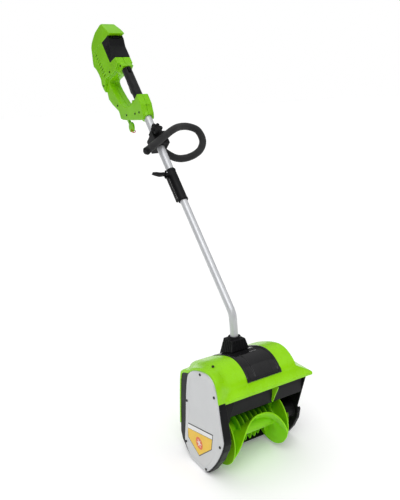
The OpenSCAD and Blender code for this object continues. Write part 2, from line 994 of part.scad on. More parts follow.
// closed tube swept along a path that stays roughly across the Y direction
module swept_tube(path, r, sides) {
    n = len(path);
    rings = [
        for (i = [0 : n - 1])
            let (
                along = unit(path[min(n - 1, i + 1)] - path[max(0, i - 1)]),
                u = unit(cross(along, [0, 1, 0])),
                v = cross(u, along)
            )
            for (k = [0 : sides - 1])
                path[i] + r * (cos(360 * k / sides) * u + sin(360 * k / sides) * v)
    ];
    faces = concat(
        [[for (k = [0 : sides - 1]) k]],
        [
            for (i = [0 : n - 2])
                for (k = [0 : sides - 1])
                    [i * sides + k, (i + 1) * sides + k, (i + 1) * sides + (k + 1) % sides,
                        i * sides + (k + 1) % sides]
        ],
        [[for (k = [sides - 1 : -1 : 0]) (n - 1) * sides + k]]
    );
    polyhedron(points = rings, faces = faces, convexity = 6);
}

module loop_handle() {
    color([0.2, 0.2, 0.21])
        pole_frame()
            translate([0, 0, loop_at])
                swept_tube(loop_path, loop_d / 2, loop_sides);
}

module loop_caps() {
    color([0.1, 0.1, 0.1])
        pole_frame()
            translate([0, 0, loop_at])
                translate(loop_points[0])
                    rotate([0, -121, 0])
                        union() {
                            translate([0, 0, 0.3])
                                cylinder(r = loop_d / 2 + 0.6, h = 4);
                            translate([0, 0, 4])
                                cylinder(r1 = loop_d / 2 + 0.6, r2 = loop_d / 2 - 4, h = 6);
                        }
}

clamp_low = -24;
clamp_high = 26;
knob_x = -11;
knob_up = 24;

// both halves of the clamp in one piece, with seats for the pole, the tube and its end
module clamp_block() {
    difference() {
        union() {
            translate([-24, -27, loop_at + clamp_low])
                cube([50, 56, clamp_high - clamp_low]);
            // boss of the knob above the strand
            translate([-22, -27, loop_at + clamp_high - 1])
                cube([22, 30, 11]);
        }
        translate([0, 0, loop_at - 40])
            cylinder(r = up_od / 2 + tube_fit, h = 100);
        translate([0, 0, loop_at])
            translate(loop_points[0])
                rotate([0, 59, 0])
                    translate([0, 0, -20])
                        cylinder(r = loop_d / 2 + 0.3, h = 190);
        // seat of the tail end of the tube
        translate([22, 31, loop_at - 10])
            rotate([0, 144, 0])
                translate([0, 0, -2])
                    cylinder(r = loop_d / 2 + 1.5, h = 80);
        translate([knob_x, -60, loop_at + knob_up])
            rotate([-90, 0, 0])
                cylinder(r = 3.05, h = 60);
        // pocket of the nut
        translate([knob_x, -22.1, loop_at + knob_up])
            rotate([-90, 0, 0])
                cylinder(r = 6.1, h = 22, $fn = 6);
    }
}

module loop_clamp_left() {
    color([0.08, 0.08, 0.09])
        pole_frame()
            intersection() {
                clamp_block();
                translate([-100, -60, loop_at - 60])
                    cube([99.8, 120, 140]);
            }
}

module loop_clamp_right() {
    color([0.08, 0.08, 0.09])
        pole_frame()
            intersection() {
                clamp_block();
                translate([0.2, -60, loop_at - 60])
                    cube([100, 120, 140]);
            }
}

module star_knob() {
    color([0.09, 0.09, 0.1])
        pole_frame()
            translate([knob_x, 0, loop_at + knob_up])
                rotate([90, 0, 0])
                    union() {
                        translate([0, 0, 33])
                            cylinder(r = 14, h = 17);
                        for (k = [0 : 5])
                            rotate([0, 0, k * 60])
                                translate([14, 0, 36])
                                    cylinder(r = 5, h = 13);
                        translate([0, 0, 27.4])
                            cylinder(r = 8, h = 6);
                        translate([0, 0, 12.7])
                            cylinder(r = 3, h = 16);
                    }
}

module knob_nut() {
    color([0.7, 0.71, 0.73])
        pole_frame()
            translate([knob_x, -21.9, loop_at + knob_up])
                rotate([-90, 0, 0])
                    difference() {
                        cylinder(r = 6, h = 5, $fn = 6);
                        translate([0, 0, -1])
                            cylinder(r = 3.1, h = 8);
                    }
}

// ---- rear handle, drawn in the pole frame: Y goes back and down, Z along the pole ----------

// side profile of the narrow part round the hand, measured from the nose of the handle
module body_outline() {
    polygon([[-22, 20], [-16, 2], [-4, -10], [6, -6], [60, 38], [110, 80], [127, 96], [138, 110],
        [133, 124], [131, 139], [143, 165], [155, 190], [166, 225], [156, 252], [112, 276],
        [24, 234], [-8, 238], [-20, 214], [-20, 84], [-30, 76], [-29, 35]]);
}

module hand_opening() {
    polygon([[13.2, 214], [13.2, 90], [20, 86], [28, 85], [37, 86], [76, 110], [86, 122],
        [96, 145], [104, 175], [112, 220], [114, 246], [111, 258], [103, 261], [36, 232],
        [24, 224], [20, 214]]);
}

// height of the floor and of the roof of the open bay at distance y
function bay_floor(y) = 268.3 + y * tan(bay_slope);
function bay_roof(y) = 365.1 + y * tan(bay_slope);

module bay_opening() {
    polygon([[-70, bay_floor(-70)], [40, bay_floor(40)], [40, bay_roof(40)],
        [-70, bay_roof(-70)]]);
}

// side profile of the wide battery housing and its cap
module housing_outline() {
    polygon([[-8, 238], [24, 234], [112, 276], [136, 266], [154, 248], [158, 262], [160, 290],
        [150, 306], [149, 330], [153, 357], [163, 384], [158, 404], [149, 426], [138, 455],
        [124, 464], [107, 469], [86, 466], [64, 461], [10, 440], [-4, 430], [-30, 370],
        [-37, 350], [-8, 330]]);
}

// the housing narrows towards its top: X and Z
module housing_taper(d) {
    translate([0, 300, 0])
        rotate([90, 0, 0])
            linear_extrude(500)
                polygon([[-bay_half + d, 180], [bay_half - d, 180], [bay_half - d, 392],
                    [22 - d, 462], [14 - d, 480 - d], [d - 14, 480 - d], [d - 22, 462],
                    [d - bay_half, 392]]);
}

// frame of the battery slide: Y runs inwards along the slope
module bay_frame() {
    translate([0, 40, (bay_floor(40) + bay_roof(40)) / 2])
        rotate([bay_slope, 0, 0])
            children();
}

module handle_solid() {
    difference() {
        union() {
            along_x(-shell_half, 2 * shell_half)
                difference() {
                    body_outline();
                    polygon([[-60, 77], [14, 77], [14, 214], [-60, 214]]);
                }
            // core under the grip sleeve
            translate([0, 0, 56])
                cylinder(r = core_r, h = 170);
            // round nose on the pole
            translate([0, 0, -4])
                cylinder(r = 20, h = 64);
            translate([0, -10, 30])
                cylinder(r = 20, h = 46);
            // broad battery housing
            intersection() {
                along_x(-bay_half, 2 * bay_half)
                    housing_outline();
                housing_taper(0);
            }
        }
        // seat of the grip sleeve round its core
        translate([0, 0, sleeve_z])
            tube_part(grip_r, core_r, 0, sleeve_len);
        along_x(-bay_half - 1, 2 * bay_half + 2)
            hand_opening();
        along_x(-bay_half - 1, 2 * bay_half + 2)
            bay_opening();
        translate([0, trigger_pin_y, trigger_pin_z])
            rod_x(1.53, -9, 9);
        // bore for the pole
        translate([0, 0, -20])
            cylinder(r = up_od / 2, h = 84);
        // hollow grip core
        translate([0, 0, 60])
            cylinder(r = 8, h = 160);
        // hollow spine behind the battery
        along_x(-bay_half + skin, 2 * (bay_half - skin))
            polygon([[43, 250], [108, 281], [138, 269], [151, 256], [156, 289], [146, 305],
                [145, 331], [149, 358], [159, 385], [147, bay_roof(147) - skin],
                [43, bay_roof(43) - skin]]);
        // hollow floor under the battery
        along_x(-bay_half + skin, 2 * (bay_half - skin))
            polygon([[-4, 241.5], [23, 238], [40, 246], [40, bay_floor(40) - skin],
                [-4, bay_floor(-4) - skin]]);
        // hollow cap above the battery
        intersection() {
            along_x(-bay_half + skin, 2 * (bay_half - skin))
                polygon([[-31, bay_roof(-31) + skin], [144, bay_roof(144) + skin], [135, 452],
                    [122, 460.5], [107, 465], [87, 462], [65, 457.5], [12, 437], [-1, 427.5],
                    [-27, 368]]);
            housing_taper(skin);
        }
        // hollow beam behind the hand
        along_x(-shell_half + skin, 2 * (shell_half - skin))
            polygon([[100, 135], [116, 128], [127, 140], [139, 167], [151, 192], [161, 226],
                [150, 246], [120, 260], [119, 245], [116, 219], [108, 174]]);
        // hollow strip below the hand
        along_x(-shell_half + skin, 2 * (shell_half - skin))
            polygon([[34, 30], [104, 86], [111, 98], [98, 118], [80, 106], [40, 81], [30, 70]]);
        // window of the contact block
        bay_frame()
            translate([-22.3, -10, -18.3])
                cube([44.6, 31, 36.6]);
        // trigger pocket
        along_x(-6.5, 13)
            polygon([[0.9, 116], [40, 116], [40, 199], [0.9, 199]]);
        // lockout pocket
        along_x(-5.5, 11)
            polygon([[-40, 186], [2, 186], [2, 211], [-40, 211]]);
        // key slot
        along_x(-5, 10)
            polygon([[117.5, 70], [130.5, 70], [130.5, 116], [117.5, 116]]);
        // ventilation slots in the housing flanks
        for (k = [0 : 7])
            for (sx = [-1, 1])
                translate([sx * bay_half, 112, 292 + 14 * k])
                    rotate([12, 0, 0])
                        cube([8, 22, 3.6], center = true);
    }
}

// what lies above the roof of the bay, raised by d
module above_roof(d) {
    along_x(-100, 200)
        polygon([[-100, bay_roof(-100) + d], [300, bay_roof(300) + d], [300, 700], [-100, 700]]);
}

module handle_left() {
    color([0.42, 0.76, 0.04])
        pole_frame()
            translate([0, 0, handle_at])
                difference() {
                    handle_solid();
                    translate([-0.1, -100, -50])
                        cube([200, 400, 700]);
                    above_roof(-0.2);
                }
}

module handle_right() {
    color([0.42, 0.76, 0.04])
        pole_frame()
            translate([0, 0, handle_at])
                difference() {
                    handle_solid();
                    translate([-199.9, -100, -50])
                        cube([200, 400, 700]);
                    above_roof(-0.2);
                }
}

module handle_cap() {
    color([0.42, 0.76, 0.04])
        pole_frame()
            translate([0, 0, handle_at])
                intersection() {
                    handle_solid();
                    above_roof(0);
                }
}

module grip_sleeve() {
    color([0.05, 0.05, 0.05])
        pole_frame()
            translate([0, 0, handle_at])
                difference() {
                    translate([0, 0, sleeve_z])
                        cylinder(r = grip_r, h = sleeve_len);
                    translate([0, 0, sleeve_z - 1])
                        cylinder(r = core_r, h = sleeve_len + 2);
                    along_x(-7, 14)
                        polygon([[4, 115], [40, 115], [40, 200], [4, 200]]);
                    along_x(-6, 12)
                        polygon([[-40, 185], [2, 185], [2, 212], [-40, 212]]);
                    // lozenge windows in both flanks
                    for (k = [0 : 2])
                        for (sx = [-1, 1])
                            translate([sx * 16, 8, 130 + 22 * k])
                                rotate([0, 90, 0])
                                    cylinder(r = 3.2, h = 10, center = true);
                }
}

module trigger() {
    color([0.06, 0.06, 0.06])
        pole_frame()
            translate([0, 0, handle_at])
                difference() {
                    along_x(-5.6, 11.2)
                        union() {
                            polygon([[9, 128], [16, 122], [25, 122], [29, 132], [25, 160], [25, 176],
                                [18, 192], [10, 194], [6, 188]]);
                            translate([trigger_pin_y, trigger_pin_z])
                                circle(r = 4.5);
                        }
                    translate([0, trigger_pin_y, trigger_pin_z])
                        rod_x(1.55, -20, 20);
                    along_x(-3.6, 7.2)
                        polygon([[4, 132], [14, 132], [17, 150], [17, 172], [4, 172]]);
                    // gap between the two pivot ears
                    translate([0, trigger_pin_y, trigger_pin_z])
                        rod_x(6, -3.2, 3.2);
                }
}

module trigger_pin() {
    color([0.7, 0.71, 0.73])
        pole_frame()
            translate([0, trigger_pin_y, handle_at + trigger_pin_z])
                rod_x(1.5, -8.8, 8.8);
}

// torsion spring wound on the trigger pin between the ears
module trigger_spring() {
    color([0.7, 0.71, 0.73])
        pole_frame()
            translate([-2.8, trigger_pin_y, handle_at + trigger_pin_z])
                rotate([0, 90, 0])
                    linear_extrude(height = 5.6, twist = -1440, slices = 56, $fn = 6)
                        translate([2.7, 0])
                            circle(r = 0.6, $fn = 6);
}

module switch_block() {
    color([0.2, 0.05, 0.05])
        pole_frame()
            translate([0, 0, handle_at])
                union() {
                    translate([-4, -6.5, 140])
                        cube([8, 6.6, 30]);
                    translate([-1.5, 0, 158])
                        cube([3, 1.2, 5]);
                }
}

module lockout_button() {
    color([0.08, 0.08, 0.08])
        pole_frame()
            translate([0, 0, handle_at])
                union() {
                    translate([-4.6, -20, 188])
                        cube([9.2, 14, 21]);
                    for (k = [0 : 3])
                        translate([-4.6, -21, 190 + 5 * k])
                            cube([9.2, 2, 2.5]);
                }
}

module battery_pack() {
    color([0.06, 0.06, 0.07])
        pole_frame()
            translate([0, 0, handle_at])
                difference() {
                    along_x(-battery_half, 2 * battery_half)
                        polygon([[-9, bay_floor(-9) + gap], [39.5, bay_floor(39.5) + gap],
                            [39.5, bay_roof(39.5) - gap], [-19, bay_roof(-19) - gap],
                            [-19, 341], [-9, 316]]);
                    // finger grooves in both flanks
                    for (sx = [-1, 1])
                        for (k = [0 : 2])
                            bay_frame()
                                translate([sx * battery_half, -36 + 10 * k, -4])
                                    cube([3, 4, 50], center = true);
                    // slots of the contact blades
                    for (k = [-1 : 1])
                        bay_frame()
                            translate([k * 12 - 1.8, -14.5, -13])
                                cube([3.6, 30, 26]);
                    // latch pocket
                    translate([-12.4, -26, 342.4])
                        cube([24.8, 16, 12.2]);
                }
}

module battery_latch() {
    color([0.1, 0.1, 0.11])
        pole_frame()
            translate([0, 0, handle_at])
                union() {
                    translate([-12, -20.5, 342.8])
                        cube([24, 7, 11.4]);
                    for (k = [0 : 2])
                        translate([-10, -21.5, 344.5 + 3.2 * k])
                            cube([20, 1.5, 1.5]);
                }
}

module terminal_block() {
    color([0.1, 0.1, 0.1])
        pole_frame()
            translate([0, 0, handle_at])
                bay_frame()
                    union() {
                        translate([-22, 8.5, -18])
                            cube([44, 12, 36]);
                        for (k = [-1 : 1])
                            translate([k * 12 - 1, -12, -11])
                                cube([2, 21, 22]);
                    }
}

module safety_key() {
    color([0.42, 0.76, 0.04])
        pole_frame()
            translate([0, key_y, handle_at])
                union() {
                    translate([0, 0, 58])
                        difference() {
                            rod_x(18, -4, 4);
                            translate([0, 0, -11])
                                rod_x(3.4, -5, 5);
                        }
                    translate([-4, -5.5, 73])
                        cube([8, 11, 38]);
                }
}

module key_ring() {
    color([0.8, 0.12, 0.08])
        pole_frame()
            translate([0, key_y, handle_at + 40.5])
                rotate([90, 0, 0])
                    rotate_extrude()
                        translate([7, 0])
                            circle(r = 1.5);
}

// screw places in the left handle half: Y, Z and distance of the face from the middle
handle_screw_places = [[2, 24, shell_half], [30, 42, shell_half], [88, 84, shell_half],
    [122, 157, shell_half], [-6, 226, shell_half], [66, 266, bay_half], [144, 272, bay_half]];

module handle_screws() {
    color([0.12, 0.12, 0.13])
        pole_frame()
            for (p = handle_screw_places)
                translate([-p[2], p[0], handle_at + p[1]])
                    rotate([0, -90, 0])
                        screw(3.2, 1.6, 7);
}

hood();
centre_cover();
neck_boot();
chamber_shell();
deflector_vanes();
right_side_plate();
left_side_plate();
belt_cover();
cover_badge();
scraper_bar();
head_screws();
pole_socket();
motor_can();
motor_bracket();
motor_rotor();
small_pulley();
drive_belt();
large_pulley();
bearing_left();
bearing_right();
auger_shaft();
auger_drum();
auger_fins();
auger_discs();
auger_flights();
auger_webs();
auger_nut();
lower_tube();
upper_tube();
coupler_sleeve();
clamp_strap();
clamp_lever();
lever_pin();
pole_cable();
loop_clamp_left();
loop_clamp_right();
loop_handle();
loop_caps();
star_knob();
knob_nut();
handle_left();
handle_right();
handle_cap();
grip_sleeve();
trigger();
trigger_pin();
trigger_spring();
switch_block();
lockout_button();
battery_pack();
battery_latch();
terminal_block();
safety_key();
key_ring();
handle_screws();
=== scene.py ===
import json
import math

import bmesh
import bpy
from mathutils import Matrix, Vector


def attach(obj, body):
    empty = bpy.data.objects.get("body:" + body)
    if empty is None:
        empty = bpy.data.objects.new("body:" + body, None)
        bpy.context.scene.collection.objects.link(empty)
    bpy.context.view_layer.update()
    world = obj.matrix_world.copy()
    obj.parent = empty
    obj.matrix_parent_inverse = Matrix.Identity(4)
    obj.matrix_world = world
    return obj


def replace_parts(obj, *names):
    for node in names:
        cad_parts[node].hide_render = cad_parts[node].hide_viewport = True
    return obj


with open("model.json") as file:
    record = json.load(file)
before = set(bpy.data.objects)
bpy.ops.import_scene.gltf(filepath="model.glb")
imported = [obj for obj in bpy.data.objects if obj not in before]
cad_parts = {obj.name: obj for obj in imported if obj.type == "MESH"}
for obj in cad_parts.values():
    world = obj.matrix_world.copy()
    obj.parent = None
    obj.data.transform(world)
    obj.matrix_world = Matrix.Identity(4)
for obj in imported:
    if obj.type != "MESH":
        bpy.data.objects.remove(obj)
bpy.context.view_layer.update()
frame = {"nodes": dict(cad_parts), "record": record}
nodes = frame["nodes"]

MM = 0.001
LEAN = math.radians(41)
BEND = (75.0, 425.0)
LOOP_AT = 637.0
AUGER_Z = 100.0
DOME = (-5.0, 243.0)
DOME_R, COVER_R = 85.5, 84.3
DOME_RIGHT, DOME_ROUND, VISOR_TAIL = 118.0, 6.5, 46.4
OPENING = 58.8
HOOD_MIDDLE = Vector((0, 165))
PANEL_MIDDLE = Vector((-4, 165))
BADGE_MIDDLE = (18, 82)


def pole(x, y, z):
    """Point of the pole frame, in mm, as a point of the model in metres."""
    return Vector((x, BEND[0] + y * math.cos(LEAN) + z * math.sin(LEAN),
                   BEND[1] - y * math.sin(LEAN) + z * math.cos(LEAN))) * MM


def head(x, y, z):
    """Point of the head, in mm, as a point of the model in metres."""
    return Vector((x, y, z)) * MM


# ---------------------------------------------------------------- materials

def material(name, color, rough, metallic=0.0, coat=0.0, coat_rough=0.1, grain=900.0, bump=0.15,
             depth=0.00006, tint=0.06, rough_spread=0.06, sheen=0.0, wear=0.0, spec=0.5,
             stretch=(1, 1, 1), blotch=14.0):
    """Moulded, drawn or painted surface with fine grain, soft tone changes and worn edges."""
    m = bpy.data.materials.new(name)
    m.use_nodes = True
    nt = m.node_tree
    b = nt.nodes["Principled BSDF"]
    out = nt.nodes["Material Output"]
    link = nt.links.new
    place = nt.nodes.new("ShaderNodeTexCoord")
    scale = nt.nodes.new("ShaderNodeMapping")
    scale.inputs["Scale"].default_value = stretch
    link(place.outputs["Object"], scale.inputs["Vector"])

    broad = nt.nodes.new("ShaderNodeTexNoise")
    broad.inputs["Scale"].default_value = blotch
    broad.inputs["Detail"].default_value = 5
    link(place.outputs["Object"], broad.inputs["Vector"])
    fine = nt.nodes.new("ShaderNodeTexNoise")
    fine.inputs["Scale"].default_value = grain
    fine.inputs["Detail"].default_value = 3
    fine.inputs["Roughness"].default_value = 0.6
    link(scale.outputs["Vector"], fine.inputs["Vector"])

    tone = nt.nodes.new("ShaderNodeValToRGB")
    tone.color_ramp.elements[0].position = 0.32
    tone.color_ramp.elements[1].position = 0.68
    dark = [max(0.0, c * (1 - tint)) for c in color]
    light = [min(1.0, c * (1 + tint) + 0.004) for c in color]
    tone.color_ramp.elements[0].color = (*dark, 1)
    tone.color_ramp.elements[1].color = (*light, 1)
    link(broad.outputs["Fac"], tone.inputs["Fac"])
    base = tone.outputs["Color"]
    if wear > 0:
        geo = nt.nodes.new("ShaderNodeNewGeometry")
        edge = nt.nodes.new("ShaderNodeMapRange")
        edge.inputs["From Min"].default_value = 0.53
        edge.inputs["From Max"].default_value = 0.62
        edge.inputs["To Max"].default_value = wear
        link(geo.outputs["Pointiness"], edge.inputs["Value"])
        mix = nt.nodes.new("ShaderNodeMix")
        mix.data_type = "RGBA"
        link(edge.outputs["Result"], mix.inputs["Factor"])
        link(base, mix.inputs[6])
        mix.inputs[7].default_value = (*[min(1.0, c * 1.35 + 0.05) for c in color], 1)
        base = mix.outputs[2]
    link(base, b.inputs["Base Color"])

    spread = nt.nodes.new("ShaderNodeMapRange")
    spread.inputs["From Min"].default_value = 0.3
    spread.inputs["From Max"].default_value = 0.7
    spread.inputs["To Min"].default_value = max(0.03, rough - rough_spread)
    spread.inputs["To Max"].default_value = min(1.0, rough + rough_spread)
    smudge = nt.nodes.new("ShaderNodeTexNoise")
    smudge.inputs["Scale"].default_value = blotch * 2.7
    smudge.inputs["Detail"].default_value = 6
    link(place.outputs["Object"], smudge.inputs["Vector"])
    link(smudge.outputs["Fac"], spread.inputs["Value"])
    link(spread.outputs["Result"], b.inputs["Roughness"])

    rise = nt.nodes.new("ShaderNodeBump")
    rise.inputs["Strength"].default_value = bump
    rise.inputs["Distance"].default_value = depth
    link(fine.outputs["Fac"], rise.inputs["Height"])
    link(rise.outputs["Normal"], b.inputs["Normal"])

    b.inputs["Metallic"].default_value = metallic
    b.inputs["Coat Weight"].default_value = coat
    b.inputs["Coat Roughness"].default_value = coat_rough
    b.inputs["Specular IOR Level"].default_value = spec
    if sheen:
        b.inputs["Sheen Weight"].default_value = sheen
        b.inputs["Sheen Roughness"].default_value = 0.5
    return m


MAT = {
    "hood_green": material("hood_green", (0.29, 0.70, 0.0), 0.27, coat=0.12, coat_rough=0.12, spec=0.2,
                           grain=700, bump=0.10, wear=0.08, tint=0.05),
    "handle_green": material("handle_green", (0.21, 0.57, 0.0), 0.34, coat=0.06, coat_rough=0.2, spec=0.2,
                             grain=1100, bump=0.22, wear=0.08, tint=0.06),
    "auger_lime": material("auger_lime", (0.28, 0.72, 0.0), 0.38, coat=0.04, coat_rough=0.25, spec=0.2,
                           grain=500, bump=0.2, wear=0.15, tint=0.08, blotch=22),
    "black_gloss": material("black_gloss", (0.006, 0.006, 0.007), 0.12, coat=0.3,
                            coat_rough=0.05, spec=0.15, grain=400, bump=0.04, rough_spread=0.05, tint=0.2),
    "black_matte": material("black_matte", (0.006, 0.006, 0.007), 0.45, spec=0.12, grain=1400, bump=0.5,
                            wear=0.12, tint=0.18, depth=0.0001),
    "black_tough": material("black_tough", (0.006, 0.006, 0.007), 0.40, spec=0.12, grain=1000, bump=0.35,
                            wear=0.12, tint=0.2, depth=0.0001),
    "silver_cover": material("silver_cover", (0.60, 0.61, 0.62), 0.34, metallic=0.25, coat=0.25,
                             coat_rough=0.2, grain=2200, bump=0.10, tint=0.035, blotch=9),
    "white_print": material("white_print", (0.85, 0.85, 0.84), 0.35, grain=1600, bump=0.1, tint=0.03),
    "yellow_print": material("yellow_print", (0.90, 0.56, 0.01), 0.35, grain=1600, bump=0.1, tint=0.05),
    "orange_print": material("orange_print", (0.80, 0.13, 0.01), 0.35, grain=1600, bump=0.1, tint=0.05),
    "ink_print": material("ink_print", (0.02, 0.02, 0.025), 0.4, grain=1600, bump=0.1, tint=0.15),
    "tube_alu": material("tube_alu", (0.60, 0.61, 0.63), 0.38, metallic=0.35, grain=260, bump=0.12,
                         tint=0.05, stretch=(1, 0.06, 0.06), blotch=11, coat=0.15),
    "zinc_steel": material("zinc_steel", (0.55, 0.56, 0.58), 0.32, metallic=1.0, grain=900,
                           bump=0.15, tint=0.10, blotch=60),
    "motor_steel": material("motor_steel", (0.03, 0.03, 0.032), 0.38, metallic=0.2, grain=900,
                            bump=0.25, tint=0.12),
    "bearing_steel": material("bearing_steel", (0.62, 0.62, 0.63), 0.2, metallic=1.0, grain=1500,
                              bump=0.08, tint=0.06, blotch=80),
    "screw_black": material("screw_black", (0.012, 0.012, 0.012), 0.33, metallic=0.6, grain=2500,
                            bump=0.2, tint=0.2, blotch=120),
    "belt_rubber": material("belt_rubber", (0.016, 0.016, 0.016), 0.75, grain=1800, bump=0.6, tint=0.2),
    "foam_grip": material("foam_grip", (0.018, 0.018, 0.019), 0.72, spec=0.2, grain=1300, bump=0.9,
                          depth=0.0003, tint=0.16, sheen=0.12, blotch=30, rough_spread=0.1),
    "soft_grip": material("soft_grip", (0.006, 0.006, 0.007), 0.55, spec=0.15, grain=1900, bump=0.7,
                          depth=0.0002, tint=0.18, sheen=0.1, blotch=40),
    "cable_rubber": material("cable_rubber", (0.012, 0.012, 0.012), 0.5, grain=1500, bump=0.3, tint=0.2),
    "spring_steel": material("spring_steel", (0.55, 0.55, 0.57), 0.25, metallic=1.0, grain=1200,
                             bump=0.1, tint=0.1),
    "red_plastic": material("red_plastic", (0.55, 0.03, 0.015), 0.3, coat=0.3, grain=1200, bump=0.15,
                            tint=0.08),
    "scraper_black": material("scraper_black", (0.020, 0.020, 0.022), 0.5, grain=700, bump=0.6,
                              depth=0.0002, wear=0.3, tint=0.25, blotch=35),
}

subparts = {s["node"]: s["material_slot"] for s in frame["record"]["subparts"]}
MAT["badge_print"] = MAT["yellow_print"]
for name, ob in nodes.items():
    ob.data.materials.clear()
    ob.data.materials.append(MAT[subparts[name]])


# ---------------------------------------------------------------- making pieces

def piece(name, verts, faces, mat, body, slot=None, smooth=True):
    """Mesh piece from points in metres that rides on a body."""
    me = bpy.data.meshes.new(name)
    me.from_pydata([tuple(v) for v in verts], [], faces)
    bm = bmesh.new()
    bm.from_mesh(me)
    bmesh.ops.recalc_face_normals(bm, faces=bm.faces)
    bm.to_mesh(me)
    bm.free()
    me.polygons.foreach_set("use_smooth", [smooth] * len(me.polygons))
    ob = bpy.data.objects.new(name, me)
    bpy.context.scene.collection.objects.link(ob)
    me.materials.append(MAT[mat])
    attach(ob, body)
    if slot is None and mat in {m["slot"] for m in frame["record"]["materials"]}:
        slot = mat
    return ob


def settle(ob):
    """Applies the modifiers of a piece to its mesh."""
    dg = bpy.context.evaluated_depsgraph_get()
    me = bpy.data.meshes.new_from_object(ob.evaluated_get(dg))
    old = ob.data
    ob.modifiers.clear()
    ob.data = me
    bpy.data.meshes.remove(old)
    return ob


def rounded(ob, width, segments=3, angle=35):
    """Rounds the sharp edges of a piece, width in mm."""
    b = ob.modifiers.new("edge", "BEVEL")
    b.width = width * MM
    b.segments = segments
    b.limit_method = "ANGLE"
    b.angle_limit = math.radians(angle)
    b.harden_normals = False
    b.use_clamp_overlap = True
    return ob


def moulded(name, node_names, voxel, rounds, mat, body):
    """A moulding with soft edges made from CAD nodes, which it stands for."""
    bm = bmesh.new()
    for n in node_names:
        bm.from_mesh(nodes[n].data)
    me = bpy.data.meshes.new(name)
    bm.to_mesh(me)
    bm.free()
    me.materials.clear()
    me.materials.append(MAT[mat])
    ob = bpy.data.objects.new(name, me)
    bpy.context.scene.collection.objects.link(ob)
    r = ob.modifiers.new("voxel", "REMESH")
    r.mode = "VOXEL"
    r.voxel_size = voxel * MM
    r.use_smooth_shade = True
    s = ob.modifiers.new("relax", "SMOOTH")
    s.factor = 0.5
    s.iterations = rounds
    settle(ob)
    ob.data.polygons.foreach_set("use_smooth", [True] * len(ob.data.polygons))
    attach(ob, body)
    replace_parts(ob, *node_names)
    return ob


def spline(points, per):
    """Smooth open curve through the points, per steps between neighbours."""
    out = []
    n = len(points)
    for i in range(n - 1):
        a, b, c, d = (Vector(points[max(0, min(n - 1, i + k))]) for k in (-1, 0, 1, 2))
        for k in range(per):
            t = k / per
            out.append(0.5 * (2 * b + (c - a) * t + (2 * a - 5 * b + 4 * c - d) * t * t
                              + (3 * b - a - 3 * c + d) * t ** 3))
    out.append(Vector(points[-1]))
    return out


def closed_spline(points, per):
    """Smooth closed curve through the points, per steps between neighbours."""
    out = []
    n = len(points)
    for i in range(n):
        a, b, c, d = (Vector(points[(i + k) % n]) for k in (-1, 0, 1, 2))
        for k in range(per):
            t = k / per
            out.append(0.5 * (2 * b + (c - a) * t + (2 * a - 5 * b + 4 * c - d) * t * t
                              + (3 * b - a - 3 * c + d) * t ** 3))
    return out


def resample(points, count):
    """count points evenly spaced along a line."""
    lengths = [0.0]
    for a, b in zip(points, points[1:]):
        lengths.append(lengths[-1] + (b - a).length)
    out = []
    j = 0
    for i in range(count):
        want = lengths[-1] * i / (count - 1)
        while j < len(lengths) - 2 and lengths[j + 1] < want:
            j += 1
        span = lengths[j + 1] - lengths[j]
        t = 0 if span == 0 else (want - lengths[j]) / span
        out.append(points[j].lerp(points[j + 1], t))
    return out


def smoothstep(a, b, x):
    """Rises softly from 0 at a to 1 at b."""
    t = max(0.0, min(1.0, (x - a) / (b - a)))
    return t * t * (3 - 2 * t)


def grid_faces(rows, cols, skip=None, wrap=False):
    """Four-sided faces between rows of points, less those that skip names."""
    faces = []
    for i in range(rows - 1):
        for j in range(cols if wrap else cols - 1):
            if skip and skip(i, j):
                continue
            k = (j + 1) % cols
            faces.append((i * cols + j, i * cols + k, (i + 1) * cols + k, (i + 1) * cols + j))
    return faces


def drop_loose(ob):
    """Deletes points that no face uses."""
    bm = bmesh.new()
    bm.from_mesh(ob.data)
    loose = [v for v in bm.verts if not v.link_faces]
    bmesh.ops.delete(bm, geom=loose, context="VERTS")
    bm.to_mesh(ob.data)
    bm.free()


def tube(name, path, radius, sides, mat, body, replaced):
    """Round tube along a path of points in metres, with closed ends."""
    verts, faces = [], []
    n = len(path)
    side = None
    for i, p in enumerate(path):
        along = (path[min(n - 1, i + 1)] - path[max(0, i - 1)]).normalized()
        if side is None:
            side = along.cross(Vector((0.3, 1, 0.2))).normalized()
        side = (side - along * side.dot(along)).normalized()
        other = along.cross(side)
        for k in range(sides):
            a = 2 * math.pi * k / sides
            verts.append(p + (side * math.cos(a) + other * math.sin(a)) * radius)
    faces = grid_faces(n, sides, wrap=True)
    faces.append(tuple(range(sides)))
    faces.append(tuple((n - 1) * sides + k for k in range(sides)))
    ob = piece(name, verts, faces, mat, body)
    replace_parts(ob, *replaced)
    return ob


def lathe(name, profile, steps, place, mat, body, wave=None):
    """Turned piece: profile of (radius, height) in mm round the local Z, placed by a function."""
    verts = []
    for r, h in profile:
        for k in range(steps):
            a = 2 * math.pi * k / steps
            q = r if wave is None else wave(r, a)
            verts.append(place(q * math.cos(a), q * math.sin(a), h))
    faces = grid_faces(len(profile), steps, wrap=True)
    faces.append(tuple(range(steps)))
    faces.append(tuple((len(profile) - 1) * steps + k for k in range(steps)))
    return piece(name, verts, faces, mat, body)


# ---------------------------------------------------------------- hood

def arc(cy, cz, r, a0, a1, n):
    """n points of an arc in (Y, Z), angles in degrees."""
    return [Vector((cy + r * math.cos(math.radians(a0 + (a1 - a0) * i / (n - 1))),
                    cz + r * math.sin(math.radians(a0 + (a1 - a0) * i / (n - 1))))) for i in range(n)]


LIP, DECK, CROWN, BACK = 4, 11, 46, 16


